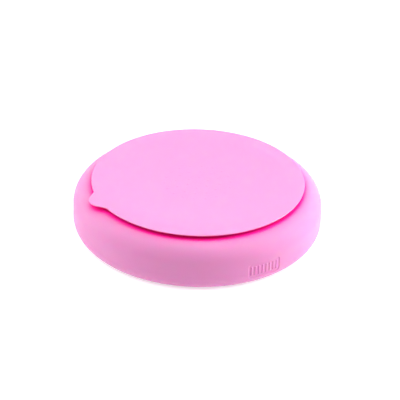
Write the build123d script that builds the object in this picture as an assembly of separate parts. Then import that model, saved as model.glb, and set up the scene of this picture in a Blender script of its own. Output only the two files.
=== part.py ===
"""Suction bowl for a small child: a silicone bowl with a push-fit suction base.

The bowl lies upside down on its rim, with the suction face on top. The origin is the centre of
the rim plane, +Z points out of the suction face, and the pull tab points along -X. Millimetres.
"""

import os
from math import acos, atan2, cos, degrees, radians, sin

from build123d import *

# Driving dimensions
BOWL_R = 90.0            # outer wall
OVERALL_H = 40.0         # rim plane to suction face
WALL_T = 4.0             # wall thickness
SHOULDER_R = 14.3        # rounding between wall and underside
LIP_R = 12.0             # the rim curls in with this outer radius
GAP_H = 3.0              # free height between the disc's edge and the underside
LAND_T = 1.0             # disc thickness at its edge
DISC_R = 77.1            # suction disc
DISH = 1.5               # depth of the disc's hollow at rest
HUB_T = 2.0              # disc thickness over the hub
FIT = 0.05               # radial clearance of the plug in its socket

# Bowl, from the rim up
LIP_CENTRE_R = BOWL_R - LIP_R
FLAT_R = LIP_CENTRE_R - 1.5                       # inner end of the flat that rests on a surface
UNDERSIDE_Z = OVERALL_H - LAND_T - GAP_H
INNER_R = BOWL_R - WALL_T
INNER_CORNER_R = 12.0
INNER_FLOOR_Z = 28.8
RECESS_R, RECESS_RUN, RECESS_Z = 60.0, 5.0, UNDERSIDE_Z - 2.5

# Push-fit between bowl and suction base
SOCKET_R = 30.0
SOCKET_Z = 31.3
PLUG_R = SOCKET_R - FIT
PLUG_END_GAP = 0.2
FLANGE_R, FLANGE_T = 36.0, 0.8
WEB_OUT_R, WEB_IN_R = 28.0, 20.0
PLUG_LEAD = 0.6                                   # chamfer that guides the plug in

# Suction disc, from its face down
LAND_IN_R = 66.0
BACK_TAPER_R = 70.0
HUB_FACE_Z = OVERALL_H - DISH - HUB_T
EDGE_R = LAND_T / 2
EDGE_Z = OVERALL_H - EDGE_R

# Pull tab, a round-ended tongue on the -X side
CHORD_X = -75.8                                   # the disc ends here, at the tab
HINGE_GAP = 0.05
HINGE_X = CHORD_X - EDGE_R - HINGE_GAP
TAB_ROOT_HALF = 12.0
TAB_TIP_X = -84.5
TAB_TIP_R = 9.5

# Ribbed grip mark, let into the wall
MARK_ANGLE = -81.5                                # about +Z, from +X
MARK_W, MARK_H, MARK_CORNER = 26.0, 11.0, 2.0
MARK_Z = 13.5
MARK_DEPTH = 0.5
RIB_COUNT, RIB_PITCH, RIB_W, RIB_H = 8, 3.0, 1.1, 7.0


def turn(*edges):
    """The solid of revolution about Z of a closed outline in the XZ plane."""
    return revolve(Plane.XZ * make_face(edges), axis=Axis.Z)


def arc(centre, radius, start, sweep):
    """An arc by its centre, radius, start angle and sweep, in degrees."""
    return CenterArc(centre, radius, start, sweep)


def outer_form(inset=0.0):
    """The bowl's outside as a full body, drawn in by inset."""
    lip_r, shoulder_r = LIP_R - inset, SHOULDER_R - inset
    shoulder_c = (BOWL_R - SHOULDER_R, UNDERSIDE_Z - SHOULDER_R)
    return turn(
        Line((0, inset), (LIP_CENTRE_R, inset)),
        arc((LIP_CENTRE_R, LIP_R), lip_r, -90, 90),
        Line((BOWL_R - inset, LIP_R), (BOWL_R - inset, shoulder_c[1])),
        arc(shoulder_c, shoulder_r, 0, 90),
        Line((shoulder_c[0], UNDERSIDE_Z - inset), (0, UNDERSIDE_Z - inset)),
        Line((0, UNDERSIDE_Z - inset), (0, inset)),
    )


def cavity():
    """The space for food, with the curled rim's rounded inner edge."""
    lip_end_r = WALL_T / 2
    corner_c = (INNER_R - INNER_CORNER_R, INNER_FLOOR_Z - INNER_CORNER_R)
    return turn(
        Line((0, 0), (FLAT_R, 0)),
        arc((FLAT_R, lip_end_r), lip_end_r, -90, -180),
        Line((FLAT_R, WALL_T), (LIP_CENTRE_R, WALL_T)),
        arc((LIP_CENTRE_R, LIP_R), LIP_R - WALL_T, -90, 90),
        Line((INNER_R, LIP_R), (INNER_R, corner_c[1])),
        arc(corner_c, INNER_CORNER_R, 0, 90),
        Line((corner_c[0], INNER_FLOOR_Z), (0, INNER_FLOOR_Z)),
        Line((0, INNER_FLOOR_Z), (0, 0)),
    )


def socket():
    """The shallow recess in the underside and the round socket in its middle."""
    return turn(
        Line((0, SOCKET_Z), (SOCKET_R, SOCKET_Z)),
        Line((SOCKET_R, SOCKET_Z), (SOCKET_R, RECESS_Z)),
        Line((SOCKET_R, RECESS_Z), (RECESS_R, RECESS_Z)),
        Line((RECESS_R, RECESS_Z), (RECESS_R + RECESS_RUN, UNDERSIDE_Z)),
        Line((RECESS_R + RECESS_RUN, UNDERSIDE_Z), (0, UNDERSIDE_Z)),
        Line((0, UNDERSIDE_Z), (0, SOCKET_Z)),
    )


def grip_mark():
    """What is cut from the wall: a rounded panel of even depth, less its upright ribs."""
    outward = Vector(cos(radians(MARK_ANGLE)), sin(radians(MARK_ANGLE)), 0)
    face_on = Plane(
        origin=outward * (BOWL_R - MARK_H) + Vector(0, 0, MARK_Z),
        x_dir=(-outward.Y, outward.X, 0),
        z_dir=outward,
    )
    panel = RectangleRounded(MARK_W, MARK_H, MARK_CORNER)
    first = -(RIB_COUNT - 1) / 2 * RIB_PITCH
    for i in range(RIB_COUNT):
        panel -= Pos(first + i * RIB_PITCH, 0) * SlotOverall(RIB_H, RIB_W, rotation=90)
    return extrude(face_on * panel, 2 * MARK_H) - outer_form(MARK_DEPTH)


def make_bowl():
    return outer_form() - cavity() - socket() - grip_mark()


def make_base_hub():
    """The plug that pushes into the socket, with the flange that stops it."""
    top_z = RECESS_Z + FLANGE_T
    end_z = SOCKET_Z + PLUG_END_GAP
    return turn(
        Line((0, end_z), (PLUG_R - PLUG_LEAD, end_z)),
        Line((PLUG_R - PLUG_LEAD, end_z), (PLUG_R, end_z + PLUG_LEAD)),
        Line((PLUG_R, end_z + PLUG_LEAD), (PLUG_R, RECESS_Z)),
        Line((PLUG_R, RECESS_Z), (FLANGE_R, RECESS_Z)),
        Line((FLANGE_R, RECESS_Z), (FLANGE_R, top_z)),
        Line((FLANGE_R, top_z), (0, top_z)),
        Line((0, top_z), (0, end_z)),
    )


def make_neck_web():
    """The soft ring between hub and disc, which gives when the disc is pressed flat."""
    bottom = RECESS_Z + FLANGE_T
    height = HUB_FACE_Z - bottom
    ring = Cylinder(WEB_OUT_R, height) - Cylinder(WEB_IN_R, height)
    return Pos(0, 0, bottom + height / 2) * ring


def disc_form():
    """The dished disc with its flat sealing land and full-round edge."""
    edge_c = DISC_R - EDGE_R
    dish_r = (LAND_IN_R**2 + DISH**2) / (2 * DISH)
    mid_r = LAND_IN_R / 2
    mid_z = OVERALL_H - DISH + dish_r - (dish_r**2 - mid_r**2) ** 0.5
    return turn(
        ThreePointArc((0, OVERALL_H - DISH), (mid_r, mid_z), (LAND_IN_R, OVERALL_H)),
        Line((LAND_IN_R, OVERALL_H), (edge_c, OVERALL_H)),
        arc((edge_c, EDGE_Z), EDGE_R, 90, -180),
        Line((edge_c, OVERALL_H - LAND_T), (BACK_TAPER_R, OVERALL_H - LAND_T)),
        Line((BACK_TAPER_R, OVERALL_H - LAND_T), (SOCKET_R, HUB_FACE_Z)),
        Line((SOCKET_R, HUB_FACE_Z), (0, HUB_FACE_Z)),
        Line((0, HUB_FACE_Z), (0, OVERALL_H - DISH)),
    )


def make_suction_disc():
    beyond_chord = Pos(CHORD_X - BOWL_R, 0, OVERALL_H) * Box(2 * BOWL_R, 2 * BOWL_R, OVERALL_H)
    return disc_form() - beyond_chord


def tab_outline():
    """Two straight sides that lean in from the root and run smoothly into one round tip."""
    tip_centre = Vector(TAB_TIP_X + TAB_TIP_R, 0)
    root = Vector(HINGE_X, TAB_ROOT_HALF)
    to_root = root - tip_centre
    touch_angle = atan2(to_root.Y, to_root.X) + acos(TAB_TIP_R / to_root.length)
    touch = tip_centre + Vector(TAB_TIP_R, 0).rotate(Axis.Z, degrees(touch_angle))
    return make_face(
        [
            Line((root.X, -root.Y), (root.X, root.Y)),
            Line((root.X, root.Y), (touch.X, touch.Y)),
            ThreePointArc((touch.X, touch.Y), (TAB_TIP_X, 0), (touch.X, -touch.Y)),
            Line((touch.X, -touch.Y), (root.X, -root.Y)),
        ]
    )


def make_pull_tab():
    """The tongue, with a round root about the line it bends on."""
    tongue = extrude(Pos(0, 0, OVERALL_H - LAND_T) * tab_outline(), LAND_T)
    root = Pos(HINGE_X, 0, EDGE_Z) * Rot(90, 0, 0) * Cylinder(EDGE_R, 2 * TAB_ROOT_HALF)
    return tongue + root


def main():
    os.makedirs("parts", exist_ok=True)
    nodes = {
        "bowl": make_bowl(),
        "base_hub": make_base_hub(),
        "neck_web": make_neck_web(),
        "suction_disc": make_suction_disc(),
        "pull_tab": make_pull_tab(),
    }
    for name, shape in nodes.items():
        export_step(shape, f"parts/{name}.step")


main()
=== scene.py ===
from math import acos, atan2, cos, hypot, pi, radians, sin, sqrt, tan

import bmesh
import bpy
from mathutils import Matrix, Vector


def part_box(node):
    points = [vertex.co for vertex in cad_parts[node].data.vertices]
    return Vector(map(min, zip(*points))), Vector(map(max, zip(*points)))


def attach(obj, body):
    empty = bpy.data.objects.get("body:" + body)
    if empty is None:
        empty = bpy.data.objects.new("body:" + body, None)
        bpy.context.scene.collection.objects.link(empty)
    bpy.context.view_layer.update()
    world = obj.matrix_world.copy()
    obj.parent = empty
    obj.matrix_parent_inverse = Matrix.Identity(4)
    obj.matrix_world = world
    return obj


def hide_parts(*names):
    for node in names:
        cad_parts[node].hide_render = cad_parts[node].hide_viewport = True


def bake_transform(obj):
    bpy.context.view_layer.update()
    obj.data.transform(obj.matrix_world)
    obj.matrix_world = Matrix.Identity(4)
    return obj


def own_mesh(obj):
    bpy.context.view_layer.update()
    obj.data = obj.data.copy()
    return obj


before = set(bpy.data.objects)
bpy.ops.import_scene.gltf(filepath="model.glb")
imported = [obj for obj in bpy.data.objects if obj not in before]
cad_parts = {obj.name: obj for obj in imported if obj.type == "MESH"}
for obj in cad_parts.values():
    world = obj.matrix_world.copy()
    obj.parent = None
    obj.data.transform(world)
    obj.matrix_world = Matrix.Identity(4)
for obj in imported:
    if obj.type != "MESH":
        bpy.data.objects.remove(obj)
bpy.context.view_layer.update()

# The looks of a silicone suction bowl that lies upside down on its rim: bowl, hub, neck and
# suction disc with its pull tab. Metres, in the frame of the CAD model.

MM = 0.001

# Sizes read from the frame
BOWL_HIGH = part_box("bowl")[1]
HUB_LOW, HUB_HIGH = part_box("base_hub")
NECK_LOW, NECK_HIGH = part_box("neck_web")
DISC_LOW, DISC_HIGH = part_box("suction_disc")
TAB_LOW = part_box("pull_tab")[0]
BOWL_R = BOWL_HIGH[0]
UNDERSIDE_Z = BOWL_HIGH[2]
HUB_R = HUB_HIGH[0]
FLANGE_TOP = HUB_HIGH[2]
NECK_R = NECK_HIGH[0]
DISC_R = DISC_HIGH[0]
DISC_BACK_Z = DISC_LOW[2]
FACE_Z = DISC_HIGH[2]
TAB_TIP_R = -TAB_LOW[0]

# Bowl section, which the CAD model doesn't give as boxes
WALL = 4.0 * MM
SHOULDER = 14.3 * MM
LIP = 12.0 * MM
CAVITY_TOP = 28.8 * MM
CAVITY_CORNER = 12.0 * MM
RECESS_R = 60.0 * MM
RECESS_RUN = 5.0 * MM
RECESS_Z = UNDERSIDE_Z - 2.5 * MM
SOCKET_R = 30.0 * MM
SOCKET_Z = 31.3 * MM
SOFT = 0.4 * MM                                  # rounding of moulded inner corners
MOUTH_R = BOWL_R - LIP - WALL + 0.5 * MM         # inner edge of the curled rim

# Suction base
PLUG_R = SOCKET_R - 0.05 * MM
LAND_T = 1.0 * MM
LAND_IN_R = 66.0 * MM
DISH = 1.5 * MM
BACK_TAPER_R = 70.0 * MM
NECK_IN_R = 20.0 * MM
NECK_WAIST = 0.5 * MM
PLUG_LEAD, PLUG_ROOT = 0.6 * MM, 0.1 * MM        # roundings of the plug
FLANGE_LOW_EDGE, FLANGE_TOP_EDGE = 0.2 * MM, 0.3 * MM

# Pull tab
TAB_ROOT_X = -76.35 * MM
TAB_ROOT_HALF = 12.0 * MM
TAB_ROUND = 9.5 * MM
TAB_BLEND = 1.0 * MM                             # softens the corner between tab and disc
TAB_SECTOR = radians(12)                         # half the sector that the tab takes up

# Raised dots in the middle of the suction face
DOT_R = 1.3 * MM
DOT_H = 0.2 * MM
DOT_RINGS = ((8.0 * MM, 6), (16.0 * MM, 12), (24.0 * MM, 18))
DOTS_END = 27.0 * MM

# Ribbed grip mark in the wall
MARK_ANGLE = radians(-81.5)
MARK_W, MARK_H, MARK_CORNER = 26.0 * MM, 11.0 * MM, 2.0 * MM
MARK_Z = 13.5 * MM
MARK_DEPTH = 0.5 * MM
MARK_EDGE = 0.25 * MM                            # half the width of its soft edges
MARK_MARGIN = 1 * MM                             # finely meshed wall round the mark
RIB_COUNT, RIB_PITCH, RIB_W, RIB_H = 8, 3.0 * MM, 1.1 * MM, 7.0 * MM

# Fineness of the meshes
FINE, COARSE, HUB_STEP = 0.22 * MM, 2.0 * MM, 3 * MM
BOWL_STEPS, HUB_STEPS, NECK_STEPS = 300, 180, 144    # round the axis
TAB_STEPS, DISC_STEPS = 160, 336                     # round the axis, at the tab and elsewhere
DOT_STEPS, FACE_STEPS, LAND_STEPS = 68, 30, 6        # from the axis to the edge
EDGE_STEPS, TAPER_STEPS, BACK_STEPS = 12, 20, 10     # round the edge and back to the axis
NECK_ROWS = 12
NO_LENGTH, ON_AXIS = 1e-7, 1e-6                      # taken as nothing


# ---------------------------------------------------------------- outlines

def smoothstep(low, high, value):
    """Runs smoothly from 0 at low to 1 at high."""
    t = min(1.0, max(0.0, (value - low) / (high - low)))
    return t * t * (3 - 2 * t)


def rounded_outline(corners, arc_step=radians(5)):
    """The points of an outline given as corners (r, z, fillet radius), with round corners."""
    points = []
    for i, (r, z, fillet) in enumerate(corners):
        here = Vector((r, z))
        if fillet == 0 or i in (0, len(corners) - 1):
            points.append(here)
            continue
        back = (Vector(corners[i - 1][:2]) - here).normalized()
        on = (Vector(corners[i + 1][:2]) - here).normalized()
        half = back.angle(on) / 2
        middle = here + (back + on).normalized() * (fillet / sin(half))
        start = here + back * (fillet / tan(half)) - middle
        end = here + on * (fillet / tan(half)) - middle
        sweep = pi - 2 * half
        steps = max(2, round(sweep / arc_step))
        for k in range(steps + 1):
            share = k / steps
            weight_start = sin((1 - share) * sweep) / sin(sweep)
            weight_end = sin(share * sweep) / sin(sweep)
            points.append(middle + start * weight_start + end * weight_end)
    return points


def divided(points, longest):
    """The same outline with no run longer than longest(mid point)."""
    out = [points[0]]
    for a, b in zip(points, points[1:]):
        length = (b - a).length
        if length < NO_LENGTH:
            continue
        steps = max(1, round(length / longest((a + b) / 2) + 0.49))    # 0.49 more all but rounds up
        out.extend(a.lerp(b, k / steps) for k in range(1, steps + 1))
    return out


def mesh_object(name, rings, hollow=False):
    """A closed surface through rings of points: a hollow ring, or else closed at both ends."""
    mesh = bmesh.new()
    rows = [[mesh.verts.new(p) for p in ring] for ring in rings]
    count = len(rows[0])
    for low, high in zip(rows, rows[1:] + (rows[:1] if hollow else [])):
        for i in range(count):
            j = (i + 1) % count
            mesh.faces.new((low[i], low[j], high[j], high[i]))
    for row in [] if hollow else [rows[0], rows[-1]]:
        centre = mesh.verts.new(sum((v.co for v in row), Vector()) / count)
        for i in range(count):
            mesh.faces.new((centre, row[i], row[(i + 1) % count]))
    bmesh.ops.recalc_face_normals(mesh, faces=mesh.faces[:])
    for face in mesh.faces:
        face.smooth = True
    data = bpy.data.meshes.new(name)
    mesh.to_mesh(data)
    mesh.free()
    piece = bpy.data.objects.new(name, data)
    bpy.context.scene.collection.objects.link(piece)
    return piece


def even_angles(count):
    return [2 * pi * i / count for i in range(count)]


def lathe(name, outline, count, hollow=False):
    """Turns an outline of points (r, z) about the bowl's axis."""
    rings = []
    for p in outline:
        if p.x > 0:
            rings.append([Vector((p.x * cos(a), p.x * sin(a), p.y)) for a in even_angles(count)])
    return mesh_object(name, rings, hollow)


# ---------------------------------------------------------------- bowl

def mark_depth(across, up):
    """How deep the wall is pressed in at a point of the grip mark, measured from its middle."""
    dx = max(abs(across) - MARK_W / 2 + MARK_CORNER, 0)
    dz = max(abs(up) - MARK_H / 2 + MARK_CORNER, 0)
    panel = MARK_CORNER - hypot(dx, dz)
    depth = smoothstep(-MARK_EDGE, MARK_EDGE, panel)
    for i in range(RIB_COUNT):
        rib_x = across - (i - (RIB_COUNT - 1) / 2) * RIB_PITCH
        rib_z = max(abs(up) - RIB_H / 2 + RIB_W / 2, 0)
        inside = RIB_W / 2 - hypot(rib_x, rib_z)
        depth -= smoothstep(-MARK_EDGE, MARK_EDGE, inside)
    return MARK_DEPTH * max(depth, 0)


def make_bowl():
    """The bowl's whole shell, with the grip mark pressed into its wall."""
    section = rounded_outline([
        (0, SOCKET_Z, 0),
        (SOCKET_R, SOCKET_Z, SOFT),
        (SOCKET_R, RECESS_Z, SOFT),
        (RECESS_R, RECESS_Z, 2 * SOFT),
        (RECESS_R + RECESS_RUN, UNDERSIDE_Z, 2 * SOFT),
        (BOWL_R, UNDERSIDE_Z, SHOULDER),
        (BOWL_R, 0, LIP),
        (MOUTH_R, 0, WALL / 2),
        (MOUTH_R, WALL, WALL / 2),
        (BOWL_R - WALL, WALL, LIP - WALL),
        (BOWL_R - WALL, CAVITY_TOP, CAVITY_CORNER),
        (0, CAVITY_TOP, 0),
    ])
    reach = MARK_H / 2 + MARK_MARGIN

    def beside_mark(p):
        return p.x > BOWL_R - WALL / 2 and abs(p.y - MARK_Z) < reach

    def longest(p):
        return FINE if beside_mark(p) else COARSE

    outline = divided(section, longest)
    half = (MARK_W / 2 + MARK_MARGIN) / BOWL_R
    mark_steps = round(2 * half * BOWL_R / FINE)
    angles = [MARK_ANGLE - half + 2 * half * i / mark_steps for i in range(mark_steps)]
    angles += [MARK_ANGLE + half + (2 * pi - 2 * half) * i / BOWL_STEPS for i in range(BOWL_STEPS)]
    rings = []
    points = [p for p in outline if p.x > ON_AXIS]
    for i, p in enumerate(points):
        along = points[min(i + 1, len(points) - 1)] - points[max(i - 1, 0)]
        normal = Vector((-along.y, along.x)).normalized()
        ring = []
        for a in angles:
            q = p
            if beside_mark(p) and abs(a - MARK_ANGLE) < half:
                depth = mark_depth((a - MARK_ANGLE) * BOWL_R, p.y - MARK_Z)
                q = p - Vector((abs(normal.x), -abs(normal.y) if p.y < LIP else 0)) * depth
            ring.append(Vector((q.x * cos(a), q.x * sin(a), q.y)))
        rings.append(ring)
    return mesh_object("bowl_shell", rings)


# ---------------------------------------------------------------- suction base

def make_hub():
    """The plug with its flange."""
    outline = rounded_outline([
        (0, HUB_LOW[2], 0),
        (PLUG_R, HUB_LOW[2], PLUG_LEAD),
        (PLUG_R, RECESS_Z, PLUG_ROOT),
        (HUB_R, RECESS_Z, FLANGE_LOW_EDGE),
        (HUB_R, FLANGE_TOP, FLANGE_TOP_EDGE),
        (0, FLANGE_TOP, 0),
    ])
    return lathe("hub_plug", divided(outline, lambda p: HUB_STEP), HUB_STEPS)


def make_neck():
    """The soft ring between hub and disc, slightly waisted."""
    low, high = NECK_LOW[2], NECK_HIGH[2]
    outer, inner = [], []
    for k in range(NECK_ROWS + 1):
        waist = NECK_WAIST * sin(pi * k / NECK_ROWS)
        z = low + (high - low) * k / NECK_ROWS
        outer.append(Vector((NECK_R - waist, z)))
        inner.append(Vector((NECK_IN_R + waist, z)))
    return lathe("neck_ring", outer + inner[::-1], NECK_STEPS, hollow=True)


def tab_reach(angle):
    """Distance from the axis to the disc's edge, at an angle measured from the tab's middle."""
    angle = abs(angle)
    if angle > TAB_SECTOR:
        return DISC_R
    tip_c = TAB_TIP_R - TAB_ROUND
    to_root = Vector((-TAB_ROOT_X - tip_c, TAB_ROOT_HALF))
    touch = atan2(to_root.y, to_root.x) - acos(TAB_ROUND / to_root.length)
    touch_point = Vector((tip_c + TAB_ROUND * cos(touch), TAB_ROUND * sin(touch)))
    if angle < atan2(touch_point.y, touch_point.x):
        reach = tip_c * cos(angle) + sqrt(TAB_ROUND**2 - (tip_c * sin(angle))**2)
    else:
        normal = Vector((cos(touch), sin(touch)))
        reach = touch_point.dot(normal) / normal.dot(Vector((cos(angle), sin(angle))))
    gap = abs(reach - DISC_R)
    return max(reach, DISC_R) + max(TAB_BLEND - gap, 0)**2 / (4 * TAB_BLEND)


def dot_height(r, angle):
    """How far the suction face stands up at a point, in its rings of low round dots."""
    height = 0
    for ring_r, count in DOT_RINGS:
        pitch = 2 * pi / count
        off = (angle + pitch / 2) % pitch - pitch / 2
        distance = hypot(r - ring_r, ring_r * off)
        height = max(height, DOT_H * (1 - smoothstep(0, DOT_R, distance)))
    return height


def make_disc():
    """Dished disc, flat land, full-round edge and pull tab in one piece."""
    half = TAB_SECTOR
    angles = [pi - half + 2 * half * i / TAB_STEPS for i in range(TAB_STEPS)]
    angles += [pi + half + (2 * pi - 2 * half) * i / DISC_STEPS for i in range(DISC_STEPS)]
    edge = []
    for a in angles:
        r = tab_reach(a % (2 * pi) - pi)
        edge.append(Vector((r * cos(a), r * sin(a))))
    count = len(edge)
    inward = []
    for i in range(count):
        along = (edge[(i + 1) % count] - edge[i - 1]).normalized()
        inward.append(Vector((-along.y, along.x)))
    round_r = LAND_T / 2
    mid_z = FACE_Z - round_r
    dish_r = (LAND_IN_R**2 + DISH**2) / (2 * DISH)
    rings = []

    def circle(r, z, dots=False):
        ring = []
        for a in angles:
            height = dot_height(r, a) if dots else 0
            ring.append(Vector((r * cos(a), r * sin(a), z + height)))
        rings.append(ring)

    def towards_edge(share, z):
        """A ring between the taper's start, at 0, and where the edge's rounding starts, at 1."""
        ring = []
        for a, e, n in zip(angles, edge, inward):
            start = Vector((BACK_TAPER_R * cos(a), BACK_TAPER_R * sin(a)))
            p = start.lerp(e + n * round_r, share)
            ring.append(Vector((p.x, p.y, z)))
        rings.append(ring)

    face_r = [DOTS_END * k / DOT_STEPS for k in range(1, DOT_STEPS)]
    face_r += [DOTS_END + (LAND_IN_R - DOTS_END) * k / FACE_STEPS for k in range(FACE_STEPS + 1)]
    for r in face_r:
        circle(r, FACE_Z - DISH + dish_r - sqrt(dish_r**2 - r * r), dots=r < DOTS_END)
    circle((LAND_IN_R + BACK_TAPER_R) / 2, FACE_Z)
    for k in range(LAND_STEPS + 1):
        towards_edge(k / LAND_STEPS, FACE_Z)
    for k in range(1, EDGE_STEPS):
        turn = pi * k / EDGE_STEPS
        ring = []
        for e, n in zip(edge, inward):
            p = e + n * (round_r * (1 - sin(turn)))
            ring.append(Vector((p.x, p.y, mid_z + round_r * cos(turn))))
        rings.append(ring)
    for k in range(LAND_STEPS + 1):
        towards_edge(1 - k / LAND_STEPS, FACE_Z - LAND_T)
    for k in range(1, TAPER_STEPS + 1):
        share = k / TAPER_STEPS
        r = BACK_TAPER_R + (SOCKET_R - BACK_TAPER_R) * share
        circle(r, FACE_Z - LAND_T + (DISC_BACK_Z - FACE_Z + LAND_T) * share)
    for k in range(1, BACK_STEPS):
        circle(SOCKET_R * (1 - k / BACK_STEPS), DISC_BACK_Z)
    return mesh_object("suction_cup", rings)


# ---------------------------------------------------------------- materials

PALE = (0.56, 0.21, 0.41, 1)
# painted shade: the magenta that stands in for the shaded gap under the disc
PAINTED_GAP_SHADE = (0.85, 0.001, 0.30, 1)
MOTTLE_SHADE = 0.96                              # darkest of the mottle, as a share of PALE
MOTTLE_SCALE, GRAIN_SCALE = 70, 1600
GRAIN_STRENGTH, GRAIN_DEPTH = 0.25, 0.00005
SCATTER_DEPTH = 0.002

# Where painted shade turns the colour magenta: in gaps narrower than GAP_REACH, from the shoulder to
# just below the face
GAP_REACH = 0.012
GAP_OPEN, GAP_CLOSED = 0.95, 0.55                # openness where it starts and where it is full
GAP_LOW_START, GAP_LOW_FULL = 0.028, 0.032
GAP_HIGH_START, GAP_HIGH_FULL = 0.0395, 0.0392


def ramp(tree, value, start, end):
    """A node that runs from 0, where the value is at start, to 1 at end."""
    node = tree.nodes.new("ShaderNodeMapRange")
    node.inputs["From Min"].default_value = start
    node.inputs["From Max"].default_value = end
    tree.links.new(value, node.inputs["Value"])
    return node.outputs["Result"]


def product(tree, first, second):
    """A node that multiplies two values."""
    node = tree.nodes.new("ShaderNodeMath")
    node.operation = "MULTIPLY"
    tree.links.new(first, node.inputs[0])
    tree.links.new(second, node.inputs[1])
    return node.outputs["Value"]


def noise(tree, place, scale, detail):
    """A node with noise that is fixed to the piece."""
    node = tree.nodes.new("ShaderNodeTexNoise")
    node.inputs["Scale"].default_value = scale
    node.inputs["Detail"].default_value = detail
    tree.links.new(place, node.inputs["Vector"])
    return node.outputs["Fac"]


def blend_colours(tree, share):
    """A node that mixes colour A into colour B by a share."""
    node = tree.nodes.new("ShaderNodeMix")
    node.data_type = "RGBA"
    tree.links.new(share, node.inputs["Factor"])
    return node


def painted_gap_shade_share(tree, place):
    """How much painted shade a point gets in the narrow gap under the disc, from 0 to 1."""
    openness = tree.nodes.new("ShaderNodeAmbientOcclusion")
    openness.samples = 8
    openness.inputs["Distance"].default_value = GAP_REACH
    closed = ramp(tree, openness.outputs["AO"], GAP_OPEN, GAP_CLOSED)
    position = tree.nodes.new("ShaderNodeSeparateXYZ")
    tree.links.new(place, position.inputs[0])
    above_wall = ramp(tree, position.outputs["Z"], GAP_LOW_START, GAP_LOW_FULL)
    below_face = ramp(tree, position.outputs["Z"], GAP_HIGH_START, GAP_HIGH_FULL)
    return product(tree, closed, product(tree, above_wall, below_face))


def silicone(name):
    """Pale pink silicone, with painted magenta shade in the narrow gap under the disc."""
    material = bpy.data.materials.new(name)
    material.use_nodes = True
    tree = material.node_tree
    shader = tree.nodes["Principled BSDF"]
    shader.inputs["Roughness"].default_value = 0.6
    shader.inputs["IOR"].default_value = 1.45
    shader.inputs["Specular IOR Level"].default_value = 0.15
    shader.inputs["Subsurface Weight"].default_value = 1.0
    shader.inputs["Subsurface Radius"].default_value = (1.0, 0.2, 0.5)
    shader.inputs["Subsurface Scale"].default_value = SCATTER_DEPTH
    shader.inputs["Sheen Weight"].default_value = 0.06
    shader.inputs["Sheen Roughness"].default_value = 0.45
    shader.inputs["Sheen Tint"].default_value = (1.0, 0.85, 1.0, 1)
    place = tree.nodes.new("ShaderNodeTexCoord").outputs["Object"]
    tint = blend_colours(tree, noise(tree, place, MOTTLE_SCALE, 3))
    tint.inputs["A"].default_value = PALE
    tint.inputs["B"].default_value = tuple(c * MOTTLE_SHADE for c in PALE[:3]) + (1,)
    # painted shade: magenta mixed in where the gap under the disc is narrow and occluded
    with_gap_shade = blend_colours(tree, painted_gap_shade_share(tree, place))
    with_gap_shade.inputs["B"].default_value = PAINTED_GAP_SHADE
    tree.links.new(tint.outputs["Result"], with_gap_shade.inputs["A"])
    tree.links.new(with_gap_shade.outputs["Result"], shader.inputs["Base Color"])
    bump = tree.nodes.new("ShaderNodeBump")
    bump.inputs["Strength"].default_value = GRAIN_STRENGTH
    bump.inputs["Distance"].default_value = GRAIN_DEPTH
    tree.links.new(noise(tree, place, GRAIN_SCALE, 2), bump.inputs["Height"])
    tree.links.new(bump.outputs["Normal"], shader.inputs["Normal"])
    return material


# ---------------------------------------------------------------- assembly

bowl = make_bowl()
hub = make_hub()
neck = make_neck()
disc = make_disc()

bowl.data.materials.append(silicone("bowl_silicone_look"))
base_look = silicone("base_silicone_look")
for piece in (hub, neck, disc):
    piece.data.materials.append(base_look)

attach(bowl, "bowl")
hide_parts("bowl")

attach(hub, "hub")
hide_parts("base_hub")

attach(neck, "web")
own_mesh(neck)
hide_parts("neck_web")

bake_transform(disc)
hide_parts("suction_disc", "pull_tab")


# ---------------------------------------------------------------- stage

VIEW_AZIMUTH, VIEW_ELEVATION, VIEW_ROLL = radians(-24.4), radians(30.25), radians(1.6)
RIGHT = Vector((cos(VIEW_AZIMUTH), sin(VIEW_AZIMUTH), 0))
FRONT = Vector((sin(VIEW_AZIMUTH), -cos(VIEW_AZIMUTH), 0))
UP = Vector((0, 0, 1))

# Radiance of the studio's lights
AMBIENT_BACK = 1.0
AMBIENT_FRONT = 0.01
OVERHEAD = 0.03
HIGH_FRONT = 5.2
RIGHT_SIDE = 6.9
LEFT_SIDE = 3.9
FLOOR_GLOW = 0.56

# Places and sizes of the softboxes
LIGHT_DISTANCE = 1.6
OVERHEAD_SIZE, OVERHEAD_BACK = 1.8, 0.4
FRONT_SIZE, FRONT_FORWARD = 1.2, 0.9
SIDE_SIZE, SIDE_HEIGHT, SIDE_BACK = 1.7, 0.85, 0.2

# Floor, with a plate of light under the object that fades out round it
FLOOR_HALF = 3.0
PLATE_END_R, PLATE_FULL_R = 0.19, 0.10

# Camera
CAMERA_DISTANCE = 2.2
CAMERA_LENS, CAMERA_SENSOR = 272.7, 36.0
TARGET_HEIGHT, TARGET_RIGHT, TARGET_UP = 0.018, 0.00176, 0.00497


def softbox(name, place, size, radiance):
    """A square light of even radiance that faces the object."""
    data = bpy.data.lights.new(name, "AREA")
    data.shape = "SQUARE"
    data.size = size
    data.energy = radiance * pi * size**2
    light = bpy.data.objects.new(name, data)
    light.location = place
    light.rotation_euler = place.to_track_quat("Z", "Y").to_euler()
    bpy.context.scene.collection.objects.link(light)


def make_lights():
    overhead = UP * LIGHT_DISTANCE - FRONT * OVERHEAD_BACK
    front = UP * LIGHT_DISTANCE + FRONT * FRONT_FORWARD
    right = RIGHT * LIGHT_DISTANCE + UP * SIDE_HEIGHT - FRONT * SIDE_BACK
    left = RIGHT * -LIGHT_DISTANCE + UP * SIDE_HEIGHT - FRONT * SIDE_BACK
    softbox("overhead_softbox", overhead, OVERHEAD_SIZE, OVERHEAD)
    softbox("front_softbox", front, FRONT_SIZE, HIGH_FRONT)
    softbox("right_softbox", right, SIDE_SIZE, RIGHT_SIDE)
    softbox("left_softbox", left, SIDE_SIZE, LEFT_SIDE)


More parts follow.
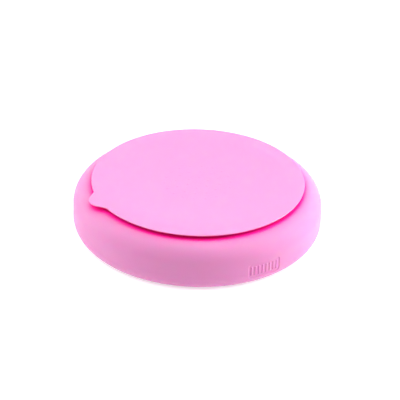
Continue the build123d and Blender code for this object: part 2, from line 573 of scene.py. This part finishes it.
def make_floor():
    """A plain pale floor, lit a little from within near the object, so its shadow stays pale."""
    data = bpy.data.meshes.new("floor")
    signs = ((-1, -1), (1, -1), (1, 1), (-1, 1))
    corners = [(x * FLOOR_HALF, y * FLOOR_HALF, 0) for x, y in signs]
    data.from_pydata(corners, [], [(0, 1, 2, 3)])
    floor = bpy.data.objects.new("floor", data)
    bpy.context.scene.collection.objects.link(floor)
    material = bpy.data.materials.new("studio_floor")
    material.use_nodes = True
    nodes, links = material.node_tree.nodes, material.node_tree.links
    shader = nodes["Principled BSDF"]
    shader.inputs["Base Color"].default_value = (0.6, 0.6, 0.6, 1)
    shader.inputs["Roughness"].default_value = 1.0
    shader.inputs["Specular IOR Level"].default_value = 0.0
    shader.inputs["Emission Color"].default_value = (1, 1, 1, 1)
    place = nodes.new("ShaderNodeTexCoord")
    distance = nodes.new("ShaderNodeVectorMath")
    distance.operation = "LENGTH"
    links.new(place.outputs["Object"], distance.inputs[0])
    plate = nodes.new("ShaderNodeMapRange")
    plate.interpolation_type = "SMOOTHSTEP"
    plate.inputs["From Min"].default_value = PLATE_END_R
    plate.inputs["From Max"].default_value = PLATE_FULL_R
    plate.inputs["To Max"].default_value = FLOOR_GLOW
    links.new(distance.outputs["Value"], plate.inputs["Value"])
    links.new(plate.outputs["Result"], shader.inputs["Emission Strength"])
    data.materials.append(material)


def make_world():
    """An even studio tent, darker on the side that the camera stands."""
    world = bpy.data.worlds.new("studio")
    world.use_nodes = True
    nodes, links = world.node_tree.nodes, world.node_tree.links
    direction = nodes.new("ShaderNodeTexCoord")
    facing = nodes.new("ShaderNodeVectorMath")
    facing.operation = "DOT_PRODUCT"
    facing.inputs[1].default_value = FRONT
    links.new(direction.outputs["Generated"], facing.inputs[0])
    strength = nodes.new("ShaderNodeMapRange")
    strength.inputs["From Min"].default_value = -1
    strength.inputs["To Min"].default_value = AMBIENT_BACK
    strength.inputs["To Max"].default_value = AMBIENT_FRONT
    links.new(facing.outputs["Value"], strength.inputs["Value"])
    background = nodes["Background"]
    background.inputs["Color"].default_value = (1, 1, 1, 1)
    links.new(strength.outputs["Result"], background.inputs["Strength"])
    bpy.context.scene.world = world


def make_camera():
    """A far camera with a long lens, which looks down on the front left of the bowl."""
    back = FRONT * cos(VIEW_ELEVATION) + UP * sin(VIEW_ELEVATION)
    screen_up = back.cross(RIGHT)
    target = UP * TARGET_HEIGHT + RIGHT * TARGET_RIGHT + screen_up * TARGET_UP
    data = bpy.data.cameras.new("camera")
    data.lens = CAMERA_LENS
    data.sensor_width = CAMERA_SENSOR
    camera = bpy.data.objects.new("camera", data)
    camera.location = target + back * CAMERA_DISTANCE
    look = back.to_track_quat("Z", "Y").to_matrix()
    camera.rotation_euler = (look @ Matrix.Rotation(VIEW_ROLL, 3, "Z")).to_euler()
    bpy.context.scene.collection.objects.link(camera)
    bpy.context.scene.camera = camera


make_floor()
make_world()
make_lights()
make_camera()
bpy.context.scene.view_settings.view_transform = "Standard"
